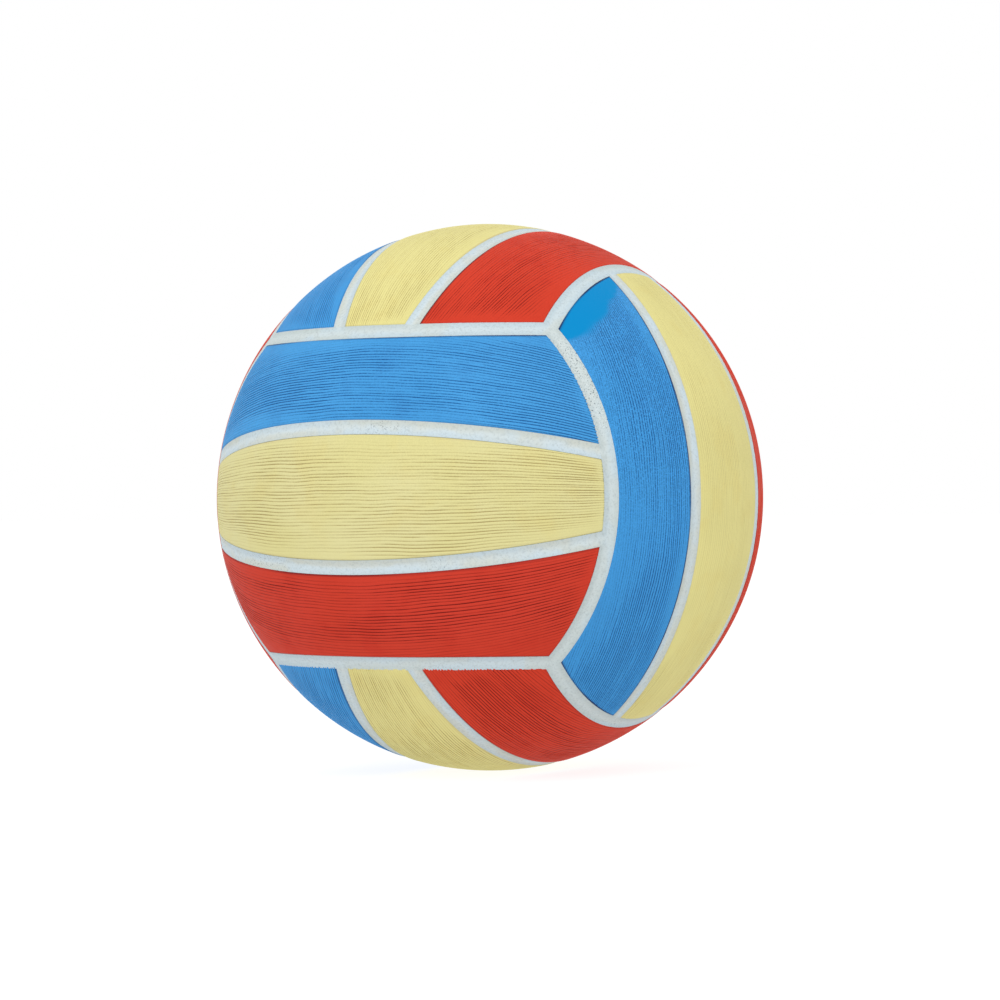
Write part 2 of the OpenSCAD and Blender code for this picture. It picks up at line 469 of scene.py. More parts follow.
class Paint:
    """Builds the nodes of one material or world."""

    def __init__(self, owner):
        owner.use_nodes = True
        self.tree = owner.node_tree
        self.tree.nodes.clear()

    def node(self, kind, settings=None, inputs=None):
        """Adds a node: its settings first, then the values and links of its sockets."""
        made = self.tree.nodes.new(kind)
        for name, setting in (settings or {}).items():
            setattr(made, name, setting)
        for name, given in (inputs or {}).items():
            socket = made.inputs[name]
            if isinstance(given, Value):
                self.tree.links.new(given.socket, socket)
            else:
                socket.default_value = given
        return Made(self, made)

    def mix(self, factor, first, second):
        """One colour or another, by a factor."""
        return self.node("ShaderNodeMix", {"data_type": "RGBA"}, {0: factor, 6: first, 7: second}).value(2)

    def place(self):
        """The object's own coordinates, in millimetres."""
        place = self.node("ShaderNodeTexCoord").value("Object")
        inputs = {0: place, "Scale": 1 / MM}
        return self.node("ShaderNodeVectorMath", {"operation": "SCALE"}, inputs).value(0)

    def noise(self, place, size, detail=2.0, rough=0.5):
        """Cloudy noise whose blotches are about size millimetres across."""
        inputs = {"Vector": place, "Scale": 1 / size, "Detail": detail, "Roughness": rough}
        return self.node("ShaderNodeTexNoise", {"noise_dimensions": "3D"}, inputs).value(0)

    def attribute(self, name):
        """A number that the mesh keeps for each of its points."""
        return self.node("ShaderNodeAttribute", {"attribute_name": name}).value("Fac")

    def bump(self, height, distance, strength=1.0):
        inputs = {"Height": height, "Distance": distance, "Strength": strength}
        return self.node("ShaderNodeBump", None, inputs).value(0)

    def surface(self, colour, roughness, normal, specular):
        """Ends the material with a surface of this finish."""
        inputs = {
            "Base Color": colour,
            "Roughness": roughness,
            "Normal": normal,
            "Specular IOR Level": specular,
        }
        shader = self.node("ShaderNodeBsdfPrincipled", None, inputs).value(0)
        self.node("ShaderNodeOutputMaterial", None, {"Surface": shader})


# Colours of each cover rubber's details: pale panels, grooves, the dark line along the rim, blotches of
# tint and the pressed end, with how much of the dark rim and of the tint shows
BLUE_TRIM = {
    "pale": (0.074, 0.370, 0.775),
    "groove": (0.010, 0.085, 0.280),
    "rim_dark": (0.012, 0.014, 0.095),
    "rim_dark_share": 0.9,
    "tint": (0.055, 0.265, 0.610),
    "tint_share": 0.3,
    "pressed": (0.000, 0.275, 0.635),
}
YELLOW_TRIM = {
    "pale": (0.775, 0.728, 0.366),
    "groove": (0.390, 0.290, 0.110),
    "rim_dark": (0.540, 0.430, 0.260),
    "rim_dark_share": 0.6,
    "tint": (0.760, 0.600, 0.170),
    "tint_share": 0.16,
    "pressed": (0.740, 0.640, 0.200),
}
RED_TRIM = {
    "pale": (0.655, 0.052, 0.029),
    "groove": (0.150, 0.006, 0.005),
    "rim_dark": (0.150, 0.008, 0.012),
    "rim_dark_share": 0.85,
    "tint": (0.540, 0.026, 0.014),
    "tint_share": 0.25,
    "pressed": (0.640, 0.030, 0.012),
}
# Specular level of the matte rubbers of the cover
COVER_GLOSS = 0.08
# How narrow the dark lines in the grooves are, how dark they are, and how dark the valleys round them
LINE_SHARPNESS = 7.0
LINE_SHARE = 1.5
VALLEY_SHARE = 0.05
# Sizes in millimetres of the cover rubber's clouds, blotches, mottling, crumbs and grain
CLOUD_SIZE = 30.0
BLOTCH_SIZE = 11.0
MOTTLE_SIZE = 2.2
CRUMB_SIZE = 0.45
GRAIN_SIZE = 0.35
# Shares of the clouds and of the stipple, and how bright they are beside the panel's colour
CLOUD_SHARE = 0.5
CLOUD_SHADE = 0.90
STIPPLE_SHARE = 0.5
STIPPLE_SHADE = 0.50
STIPPLE_LIGHT = 1.25

# Tones of the white seams: their cool half and their creamy half, which is partly painted shade, the
# painted highlight of their middle, the painted shade of their rims, the strips between faces, and the
# shade, glints and specks of their grain
SEAM_COOL = (0.61, 0.73, 0.80)
SEAM_CREAM_AND_SHADE = (0.64, 0.67, 0.60)
SEAM_CREST_HIGHLIGHT = (0.75, 0.83, 0.84)
SEAM_RIM_SHADE = (0.47, 0.56, 0.58)
SEAM_EDGE = (0.54, 0.67, 0.73)
SEAM_SHADE = (0.40, 0.46, 0.47)
SEAM_GLINT = (0.80, 0.86, 0.86)
SEAM_SPECK = (0.12, 0.14, 0.17)
# How much of some of them shows
EDGE_SHARE = 0.4
CREST_HIGHLIGHT_SHARE = 0.30
RIM_SHADE_SHARE = 0.25
SHADE_SHARE = 0.44
SUGAR_SHADE_LESS = 0.22
GLINT_SHARE = 0.5
# Sizes in millimetres of the seams' noise: which half is creamy and in painted shade, tone, whiteness,
# specks' places, grain and sugar
LEAN_SIZE = 40.0
TONE_SIZE = 7.0
WHITE_SIZE = 3.0
SPECKLED_SIZE = 25.0
SEAM_GRAIN_SIZE = 0.8
SUGAR_SIZE = 0.45

# Colours of what lies under the cover
THREAD_COLOUR = (0.62, 0.56, 0.42)
BLADDER_COLOUR = (0.030, 0.027, 0.024)
NECK_COLOUR = (0.060, 0.058, 0.055)
CORE_COLOUR = (0.014, 0.014, 0.016)
# Directions, as turns in radians, in which the thread is wound
THREAD_TURNS = ((0.4, 0.9, 0.1), (1.3, -0.5, 0.8), (-0.7, 0.3, 1.9))


def rgba(colour, share=1.0):
    """A colour for a socket, brightened or darkened by a share."""
    return (colour[0] * share, colour[1] * share, colour[2] * share, 1.0)


def panel_rubber(name, colour, trim):
    """Ribbed cover rubber: dark fine lines in its grooves, darker along its rim, stippled and mottled."""
    material = bpy.data.materials.new(name)
    paint = Paint(material)
    place = paint.place()
    cloud = paint.noise(place, CLOUD_SIZE, detail=3.0)
    blotch = paint.noise(place, BLOTCH_SIZE)
    mottle = paint.noise(place, MOTTLE_SIZE, detail=3.0)
    crumbs = paint.noise(place, CRUMB_SIZE)
    grain = paint.noise(place, GRAIN_SIZE)
    valley = 0.5 + 0.5 * (2 * math.pi * paint.attribute("phase")).cosine()
    cut = paint.attribute("cut")
    stipple = paint.attribute("stipple")
    broken = 1 + stipple * (1.5 * crumbs.ramp(0.35, 0.62) - 0.8)
    line = valley ** LINE_SHARPNESS * cut * broken
    body = paint.mix(paint.attribute("pale"), rgba(colour), rgba(trim["pale"]))
    body = paint.mix(cloud.ramp(0.35, 0.68) * CLOUD_SHARE, body, rgba(colour, CLOUD_SHADE))
    body = paint.mix(blotch.ramp(0.50, 0.72) * trim["tint_share"], body, rgba(trim["tint"]))
    body = paint.mix(paint.attribute("pressed"), body, rgba(trim["pressed"]))
    body = paint.mix(valley * cut * VALLEY_SHARE, body, rgba(trim["groove"]))
    body = paint.mix(line * (LINE_SHARE + 0.5 * mottle), body, rgba(trim["groove"]))
    pits = crumbs.ramp(0.45, 0.70) * stipple * STIPPLE_SHARE
    body = paint.mix(pits, body, rgba(colour, STIPPLE_SHADE))
    bumps = crumbs.ramp(0.50, 0.30) * stipple * STIPPLE_SHARE
    body = paint.mix(bumps, body, rgba(colour, STIPPLE_LIGHT))
    # Darker along the rim, by as much as the mesh gives
    body = paint.mix(paint.attribute("rim_dark") * trim["rim_dark_share"], body, rgba(trim["rim_dark"]))
    normal = paint.bump(0.03 * grain - 0.10 * line, distance=MM, strength=0.6)
    paint.surface(body, 0.5 + 0.2 * mottle, normal, COVER_GLOSS)
    return material


def seam_rubber(name, colour):
    """White seam rubber: two-toned, partly in painted shade; a painted highlight down the middle, painted
    shade at the rims; sugary where grainy.
    """
    material = bpy.data.materials.new(name)
    paint = Paint(material)
    place = paint.place()
    grain = paint.noise(place, SEAM_GRAIN_SIZE, detail=3.0, rough=0.65)
    sugar = paint.noise(place, SUGAR_SIZE, detail=1.0)
    white = 0.15 + 0.3 * paint.noise(place, WHITE_SIZE).ramp(0.3, 0.7)
    grainy = paint.attribute("grainy")
    gap = paint.attribute("gap")
    # Along each seam one half turns creamier and greyer, on a side that this noise picks: a creamy tint,
    # and in part a painted shade of one wall of the channel
    lean = 9.0 * paint.noise(place, LEAN_SIZE, detail=1.0) - 4.5
    tone = paint.attribute("across") * lean + 1.8 * paint.noise(place, TONE_SIZE) - 0.4
    body = paint.mix(tone.ramp(0.1, 0.9), rgba(SEAM_COOL), rgba(SEAM_CREAM_AND_SHADE))
    body = paint.mix(white, body, rgba(colour))
    body = paint.mix(paint.attribute("cool") * EDGE_SHARE, body, rgba(SEAM_EDGE))
    # Painted highlight: the seam is brighter along its middle, away from the panels
    body = paint.mix(gap.ramp(0.9, 2.3) * CREST_HIGHLIGHT_SHARE, body, rgba(SEAM_CREST_HIGHLIGHT))
    # Painted shade: the seam turns greyer at its rims, where it meets the panels
    body = paint.mix(gap.ramp(0.8, 0.1) * RIM_SHADE_SHARE, body, rgba(SEAM_RIM_SHADE))
    shade_share = SHADE_SHARE - SUGAR_SHADE_LESS * grainy
    body = paint.mix(grain.ramp(0.55, 0.28) * shade_share, body, rgba(SEAM_SHADE))
    body = paint.mix(sugar.ramp(0.50, 0.66) * grainy * GLINT_SHARE, body, rgba(SEAM_GLINT))
    speckled = paint.noise(place, SPECKLED_SIZE).ramp(0.56, 0.70) * 0.6 + grainy
    body = paint.mix(sugar.ramp(0.37, 0.29) * speckled, body, rgba(SEAM_SPECK))
    normal = paint.bump(0.05 * grain - 0.30 * gap.ramp(-0.6, 2.4), distance=MM)
    paint.surface(body, 0.5 + 0.15 * grain, normal, COVER_GLOSS)
    return material


def plain_rubber(name, colour, roughness):
    """Moulded rubber with a faint bloom."""
    material = bpy.data.materials.new(name)
    paint = Paint(material)
    place = paint.place()
    bloom = paint.noise(place, size=5.0, detail=4.0)
    grain = paint.noise(place, size=0.4)
    body = paint.mix(bloom.ramp(0.4, 0.8) * 0.5, rgba(colour), rgba(colour, 1.8))
    normal = paint.bump(grain, distance=0.02 * MM, strength=0.5)
    paint.surface(body, roughness + 0.15 * bloom, normal, specular=0.4)
    return material


def wound_thread(name, colour):
    """Waxed nylon thread that crosses itself at many angles."""
    material = bpy.data.materials.new(name)
    paint = Paint(material)
    place = paint.place()
    lines = None
    for turn in THREAD_TURNS:
        inputs = {"Vector": place, "Rotation": turn}
        turned = paint.node("ShaderNodeMapping", {"vector_type": "POINT"}, inputs)
        inputs = {"Vector": turned.value(0), "Scale": 0.9, "Distortion": 0.6, "Detail": 1.0}
        wave = paint.node("ShaderNodeTexWave", {"wave_type": "BANDS"}, inputs).value("Fac")
        lines = wave if lines is None else lines * 0.5 + wave * 0.5
    body = paint.mix(lines.ramp(0.2, 0.7), rgba(colour, 0.55), rgba(colour))
    normal = paint.bump(lines, distance=0.2 * MM, strength=0.8)
    paint.surface(body, 0.6 + 0.2 * lines, normal, specular=0.35)
    return material


def wander(points, length, seed, waves=7):
    """Smooth random field on points, about 1 strong, whose waves are about length long."""
    dice = np.random.default_rng(seed)
    total = np.zeros(points.shape[:-1])
    for _ in range(waves):
        way = dice.normal(size=points.shape[-1])
        way *= 2 * math.pi / (length * dice.uniform(0.6, 1.6) * np.linalg.norm(way))
        total += np.sin(points @ way + dice.uniform(0, 2 * math.pi))
    return total / math.sqrt(waves / 2)


def smooth(low, high, values):
    """0 up to low, 1 from high on, and a smooth rise between them."""
    share = np.clip((values - low) / (high - low), 0, 1)
    return share * share * (3 - 2 * share)


def sunk(points, sizes):
    """How far the ball's slow unevenness lowers its surface at these directions."""
    return sizes.lumps * (0.5 + 0.25 * np.clip(wander(points, LUMP_LENGTH, seed=7), -2, 2))


class Cover:
    """One cover panel of the front face, in u from -1 to 1 along it and f from 0 to 1 across it."""

    def __init__(self, sizes, face, side, seed):
        self.sizes = sizes
        self.middle = side == 0
        self.mirror = -1 if side < 0 else 1
        self.turn = np.array(TURNS[face]).T
        self.seed = seed
        self.rib_strength, self.pitch_share = RIBBING.get((face, side), USUAL_RIBBING)
        self.is_pressed = (face, side) == PRESSED_PANEL
        self.end_angle = EDGE_ANGLE - sizes.edge_seam / 2 / sizes.radius
        self.edge_angle = EDGE_ANGLE + sizes.edge_seam / 2 / sizes.radius
        self.seam_half = sizes.strip_seam / 2 / sizes.radius

    def angles(self, reach):
        """Angles of the panel's two long edges, where the ball's slice has this radius."""
        seam = np.arcsin(self.seam_half / reach)
        if self.middle:
            return seam - self.sizes.strip_angle, self.sizes.strip_angle - seam
        return self.sizes.strip_angle + seam, np.arcsin(math.cos(self.edge_angle) / reach)

    def points(self, u, f, longer=0.0):
        """Directions of the panel's points, and its width there.

        Its ends are moved out by some share of the radius. A point's place along the panel and the
        width there depend on each other, so both are closed in on from a first guess.
        """
        x = GUESS_SHARE * u
        for _ in range(ROUNDS):
            low, high = self.angles(np.sqrt(1 - x * x))
            angle = low + (high - low) * f
            x = u * (np.sqrt(1 - (math.cos(self.end_angle) / np.cos(angle)) ** 2) + longer)
        reach = np.sqrt(1 - x * x)
        low, high = self.angles(reach)
        angle = low + (high - low) * f
        points = np.stack([x, -reach * np.cos(angle), reach * np.sin(angle)], -1)
        return points, reach * (high - low)

    def turned(self, points):
        """Points of the front face where this panel has them."""
        return points * (1, 1, self.mirror) @ self.turn

    def rims(self, points):
        """Distances of the panel's points from its inner seam, its outer edge and its nearer end."""
        x, y, z = points.T
        to_end = self.end_angle - np.arccos(np.clip(-y, -1, 1))
        cos, sin = math.cos(self.sizes.strip_angle), math.sin(self.sizes.strip_angle)
        if self.middle:
            to_inner = -y * sin - z * cos - self.seam_half
            to_outer = -y * sin + z * cos - self.seam_half
        else:
            to_inner = y * sin + z * cos - self.seam_half
            to_outer = np.arccos(np.clip(z, -1, 1)) - self.edge_angle
        return np.clip([to_inner, to_outer, to_end], 0, None) * self.sizes.radius

    def pressed(self, points, u, f):
        """1 where the panel's end was pressed smooth."""
        if not self.is_pressed:
            return np.zeros(len(points))
        to_end = (self.end_angle - np.arccos(np.clip(-points[:, 1], -1, 1))) * self.sizes.radius
        bulge = np.clip(1 - (2 * f - 1) ** 2, 0, 1)
        reach = PRESSED_SIDE + (PRESSED_MIDDLE - PRESSED_SIDE) * bulge
        reach = reach + PRESSED_WAVER * wander(points, PRESSED_WAVER_LENGTH, self.seed + 6)
        return (1 - smooth(*PRESSED_FADE_SHARES, to_end / reach)) * (u < 0)

    def grooves(self, points, f, width):
        """Phase of the ribs, whole in the middle of a groove, and strength of the groove there.

        Each random field is squeezed across the ribs by the pair beside it, so it runs along them.
        """
        sizes = self.sizes
        if self.middle:
            spread = PARALLEL_SHARE * width.max() + (1 - PARALLEL_SHARE) * width
            across = (f - 0.5) * spread * sizes.radius
        else:
            low, high = self.angles(1.0)
            angle = np.arctan2(points[:, 2], -points[:, 1])
            across = (1 - FANNING_SHARE) * (angle - low) + FANNING_SHARE * f * (high - low)
            across = across * sizes.radius
        along = points[:, 0] * sizes.radius
        where = np.stack([along, across], -1)
        across = across + RIB_DRIFT * wander(where * (1, 2.5), RIB_DRIFT_LENGTH, self.seed)
        across = across + RIB_WAVER * wander(where * (1, 1.6), RIB_WAVER_LENGTH, self.seed + 1)
        turn = across / sizes.rib_pitch / self.pitch_share
        number = np.floor(turn + 0.5).astype(int)
        # Six random traits for every groove, and for each point those of its own groove
        traits = np.random.default_rng(self.seed + 2).uniform(0, 1, (MOST_GROOVES, 6))
        long, start, short, begin, own, shift = traits[number + MOST_GROOVES // 2].T
        phase = turn - SHIFT_SHARE * (shift - 0.5)
        swell = np.sin(2 * math.pi * (along / (SWELL_LENGTH + SWELL_SPREAD * long) + start))
        ripple = np.sin(2 * math.pi * (along / (RIPPLE_LENGTH + RIPPLE_SPREAD * short) + begin))
        crumb = wander(where * (1, 5), CRUMB_LENGTH, self.seed + 7)
        strength = GROOVE_BASE + GROOVE_OWN * own ** OWN_POWER
        strength = strength + GROOVE_SWELL * swell + GROOVE_RIPPLE * ripple + GROOVE_CRUMB * crumb
        ends = ENDS_BASE + ENDS_RISE * (points[:, 0] / points[:, 0].max()) ** 2
        patchy = smooth(*PATCH_FADE, wander(where * (1, 1.9), PATCH_LENGTH, self.seed + 3))
        patch = ends * (PATCH_BASE + PATCH_RISE * patchy)
        if not self.middle:
            patch = patch * (1 - OUTER_CALM_SHARE * smooth(*OUTER_CALM_SHARES, f))
        return phase, np.clip(strength * patch * self.rib_strength, LEAST_GROOVE, 1)


def slab(columns, rows, hole=None):
    """Closed flat panel with its top at height 1 and its foot at 0.

    It reaches from -1 to 1, with its length along Y and its width along X.
    """
    bm = bmesh.new()
    top = bmesh.ops.create_grid(bm, x_segments=rows, y_segments=columns, size=1)["verts"]
    bmesh.ops.translate(bm, verts=top, vec=(0, 0, 1))
    rim = [edge for edge in bm.edges if edge.is_boundary]
    made = bmesh.ops.extrude_edge_only(bm, edges=rim)["geom"]
    wall = [part for part in made if isinstance(part, bmesh.types.BMVert)]
    bmesh.ops.translate(bm, verts=wall, vec=(0, 0, -1))
    foot = [edge for edge in bm.edges if edge.is_boundary]
    under = bmesh.ops.create_grid(
        bm, x_segments=UNDERSIDE_ROWS, y_segments=UNDERSIDE_STEPS, size=UNDERSIDE_SHARE
    )["verts"]
    inner = {edge for vert in under for edge in vert.link_edges if edge.is_boundary}
    bmesh.ops.bridge_loops(bm, edges=foot + sorted(inner, key=lambda edge: edge.index))
    if hole:
        half_length, half_width = hole
        middles = [(face, face.calc_center_median()) for face in bm.faces]
        gone = [face for face, at in middles if (at.x / half_width) ** 2 + (at.y / half_length) ** 2 < 1]
        bmesh.ops.delete(bm, geom=gone, context="FACES")
        bmesh.ops.bridge_loops(bm, edges=[edge for edge in bm.edges if edge.is_boundary])
    bmesh.ops.recalc_face_normals(bm, faces=bm.faces)
    return bm


def crowded(share, inner, margin):
    """Moves even steps from -1 to 1 so that those past inner crowd into a margin at each end."""
    size = np.abs(share)
    bulk = size / inner * (1 - margin)
    rest = 1 - margin + (size - inner) / (1 - inner) * margin
    return np.sign(share) * np.where(size < inner, bulk, rest)


def make_mesh(bm, name):
    """Turns a bmesh into a smooth mesh."""
    mesh = bpy.data.meshes.new(name)
    bm.to_mesh(mesh)
    bm.free()
    mesh.polygons.foreach_set("use_smooth", [True] * len(mesh.polygons))
    return mesh


def add_piece(mesh):
    """Puts a mesh into the scene under its own name."""
    piece = bpy.data.objects.new(mesh.name, mesh)
    bpy.context.scene.collection.objects.link(piece)
    return piece


def read_points(mesh):
    """The mesh's points, one row each."""
    flat = np.empty(len(mesh.vertices) * 3, "f")
    mesh.vertices.foreach_get("co", flat)
    return flat.reshape(-1, 3).astype(float)


def write_points(mesh, points):
    """Moves the mesh's points to these places."""
    mesh.vertices.foreach_set("co", points.astype("f").ravel())
    mesh.update()


def write_values(mesh, name, values):
    """Keeps one number for each point of the mesh, for its material to read."""
    made = mesh.attributes.new(name, "FLOAT", "POINT")
    made.data.foreach_set("value", np.asarray(values, "f"))


def make_cover(sizes, face, side, name, seed):
    """Mesh of one ribbed panel; side 0 is the middle one, 1 and -1 those beside it."""
    cover = Cover(sizes, face, side, seed)
    columns = PANEL_STEPS
    rows = MIDDLE_ROWS if side == 0 else SIDE_ROWS
    has_valve = face == "back" and side == 0
    mesh = make_mesh(slab(columns, rows, PAD_HOLE_SHARES if has_valve else None), name)
    flat = read_points(mesh)
    f = flat[:, 0] / 2 + 0.5
    u = crowded(flat[:, 1], CROWD_FROM_SHARE, CROWD_SHARE)
    top = flat[:, 2] > 0.5
    points, width = cover.points(u, f)
    phase, strength = cover.grooves(points, f, width)
    groove = (0.5 + 0.5 * np.cos(2 * math.pi * phase)) ** GROOVE_SHARPNESS
    pressed = cover.pressed(points, u, f)
    at_end = smooth(RAGGED_FROM_SHARE, 1.0, np.abs(u)) * (1 - pressed)
    # The second number tells the two ends apart, so each has a jitter of its own
    where = np.stack([f * width * sizes.radius, 0.1 * u], -1)
    teeth = TOOTH_RISE - TOOTH_CUT * groove * strength
    teeth = teeth + TOOTH_JITTER * wander(where, TOOTH_JITTER_LENGTH, seed + 4)
    ragged = RAGGED.get((face, side), USUAL_RAGGED)
    shaped, _ = cover.points(u, f, ragged * teeth / sizes.radius * at_end)
    turned = cover.turned(shaped)
    rims = cover.rims(points)
    rim = rims.min(axis=0)
    shoulder = np.clip(rim / sizes.shoulder, 0, 1)
    drop = sizes.seam_depth * EDGE_DROP_SHARE * (1 - np.sqrt(1 - (1 - shoulder) ** 2))
    uneven = CALM_WAVER * wander(points * (1, 2, 2), CALM_WAVER_LENGTH, seed + 5)
    at_rim = RIM_GROOVE + RAGGED_RIM_GROOVE * ragged
    calm = at_rim + (1 - at_rim) * smooth(CALM_FROM, CALM_TO, rim + uneven)
    if has_valve:
        from_valve = np.hypot(turned[:, 0], turned[:, 2]) * sizes.radius
        from_valve = from_valve + VALVE_WAVER_SHARE * uneven
        calm = calm * smooth(VALVE_CALM_FROM, VALVE_CALM_TO, from_valve)
    cut = strength * calm * smooth(0.0, RIM_FADE, rim + END_FADE * at_end) * (1 - pressed)
    radius = sizes.radius - sunk(turned, sizes) - drop - sizes.rib_depth * groove * cut
    write_points(mesh, turned * np.where(top, radius, sizes.carcass_radius)[:, None])
    write_values(mesh, "phase", phase)
    write_values(mesh, "cut", cut)
    write_values(mesh, "pale", np.full(len(points), float(face == PALE_FACE)))
    height = smooth(-STIPPLE_FADE, STIPPLE_FADE, turned[:, 2])
    fading = (1 - pressed) * (LOW_STIPPLE_SHARE + (1 - LOW_STIPPLE_SHARE) * height)
    write_values(mesh, "stipple", STIPPLED.get((face, side), USUAL_STIPPLE) * fading)
    write_values(mesh, "pressed", pressed)
    # A thin dark line along the panel's rim, stronger on some of its sides than on others
    rim_darks = 1 - smooth(RIM_DARK_FULL_SHARE, 1.0, rims / RIM_DARK_WIDTH)
    rim_darkened = rim_darks.T @ np.array(RIM_DARKENING.get((face, side), USUAL_RIM_DARKENING))
    waver = 1 + RIM_DARK_WAVER * wander(points, RIM_DARK_WAVER_LENGTH, seed + 8)
    write_values(mesh, "rim_dark", np.clip(rim_darkened * waver, 0, 1))
    if side >= 0:
        mesh.flip_normals()
    if has_valve:
        add_valve_pad(mesh, sizes)
    return mesh


def add_valve_pad(mesh, sizes):
    """Adds the smooth round pad that the panel has round the valve's neck."""
    neck = sizes.neck_radius
    top = sizes.radius - PAD_SINK
    spots = [(neck, sizes.carcass_radius)]
    for step in range(PAD_LIP_STEPS + 1):
        turn = math.pi / 2 * step / PAD_LIP_STEPS
        spots.append((neck + PAD_LIP * (1 - math.cos(turn)), top - PAD_LIP * (1 - math.sin(turn))))
    for step in range(1, PAD_STEPS + 1):
        spots.append((neck + PAD_LIP + (PAD_RADIUS - 2 * PAD_LIP - neck) * step / PAD_STEPS, top))
    for step in range(1, PAD_LIP_STEPS + 1):
        turn = math.pi / 2 * step / PAD_LIP_STEPS
        spots.append((PAD_RADIUS - PAD_LIP * (1 - math.sin(turn)), top - PAD_LIP * (1 - math.cos(turn))))
    spots.append((PAD_RADIUS, sizes.carcass_radius))
    bm = bmesh.new()
    bm.from_mesh(mesh)
    bm.verts.ensure_lookup_table()
    old = len(bm.verts)
    ring = [bm.verts.new((r, math.sqrt(reach * reach - r * r), 0)) for r, reach in spots]
    edges = [bm.edges.new(pair) for pair in zip(ring, ring[1:] + ring[:1])]
    bmesh.ops.spin(
        bm,
        geom=ring + edges,
        cent=(0, 0, 0),
        axis=(0, 1, 0),
        angle=2 * math.pi,
        steps=PAD_TURN_STEPS,
        use_merge=True,
    )
    bm.verts.ensure_lookup_table()
    pad = bm.verts[old:]
    faces = {face for vert in pad for face in vert.link_faces}
    bmesh.ops.recalc_face_normals(bm, faces=list(faces))
    for face in faces:
        face.smooth = True
    bm.to_mesh(mesh)
    bm.free()


class BALL_OT_panels(bpy.types.Operator):
    """Build the eighteen ribbed cover panels."""

    bl_idname = "ball.panels"
    bl_label = "Cover panels"

    def execute(self, context):
        sizes = context.scene.ball_sizes
        colours = context.scene.ball_colours
        blue = panel_rubber("blue_rubber", colours.blue, BLUE_TRIM)
        yellow = panel_rubber("yellow_rubber", colours.yellow, YELLOW_TRIM)
        red = panel_rubber("red_rubber", colours.red, RED_TRIM)
        # Each panel has ten seeds of its own
        seed = 100
        for face, ((first, _), (second, _)) in SIDES.items():
            for name, side in ((first, 1), ("middle", 0), (second, -1)):
                seed += 10
                mesh = make_cover(sizes, face, side, f"{face}_{name}_cover", seed)
                if side == 0:
                    material, slot = yellow, "yellow_cover"
                elif name == BLUE_SIDE[face]:
                    material, slot = blue, "blue_cover"
                else:
                    material, slot = red, "red_cover"
                mesh.materials.append(material)
                piece = add_piece(mesh)
                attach(piece, BODY)
                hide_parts(f"{face}_{name}_panel")
        return {"FINISHED"}


def panel_gap(points, sizes):
    """How far these directions lie outside the nearest cover panel."""
    end = EDGE_ANGLE - sizes.edge_seam / 2 / sizes.radius
    edge = EDGE_ANGLE + sizes.edge_seam / 2 / sizes.radius
    half = sizes.strip_seam / 2 / sizes.radius
    cos, sin = math.cos(sizes.strip_angle), math.sin(sizes.strip_angle)
    nearest = np.full(len(points), 1.0)
    for turn in TURNS.values():
        _, y, z = (points @ np.array(turn)).T
        z = np.abs(z)
        past_end = np.arccos(np.clip(-y, -1, 1)) - end
        middle = np.maximum(past_end, half + y * sin + z * cos)
        outer = np.maximum(half - y * sin - z * cos, edge - np.arccos(np.clip(z, -1, 1)))
        nearest = np.minimum(nearest, np.minimum(middle, np.maximum(past_end, outer)))
    return np.clip(nearest, 0, None) * sizes.radius


def seam_section(bm, half_width, top, bottom, across, middle):
    """Closed outline of a seam strip, drawn round the direction of its middle."""
    shares = [2 * step / SECTION_STEPS - 1 for step in range(SECTION_STEPS + 1)]
    outline = [middle * top + across * half_width * share for share in shares]
    outline += [middle * bottom + across * shift for shift in (half_width, 0.0, -half_width)]
    verts = [bm.verts.new(co) for co in outline]
    return verts + [bm.edges.new(pair) for pair in zip(verts, verts[1:] + verts[:1])]


def slice_off(bm, normal, offset=0.0):
    """Cuts away all that lies past a plane, and closes the cut."""
    normal = Vector(normal).normalized()
    bmesh.ops.bisect_plane(
        bm,
        geom=bm.verts[:] + bm.edges[:] + bm.faces[:],
        dist=1e-7,
        plane_co=normal * offset,
        plane_no=normal,
        clear_outer=True,
    )
    bmesh.ops.holes_fill(bm, edges=[edge for edge in bm.edges if edge.is_boundary], sides=0)


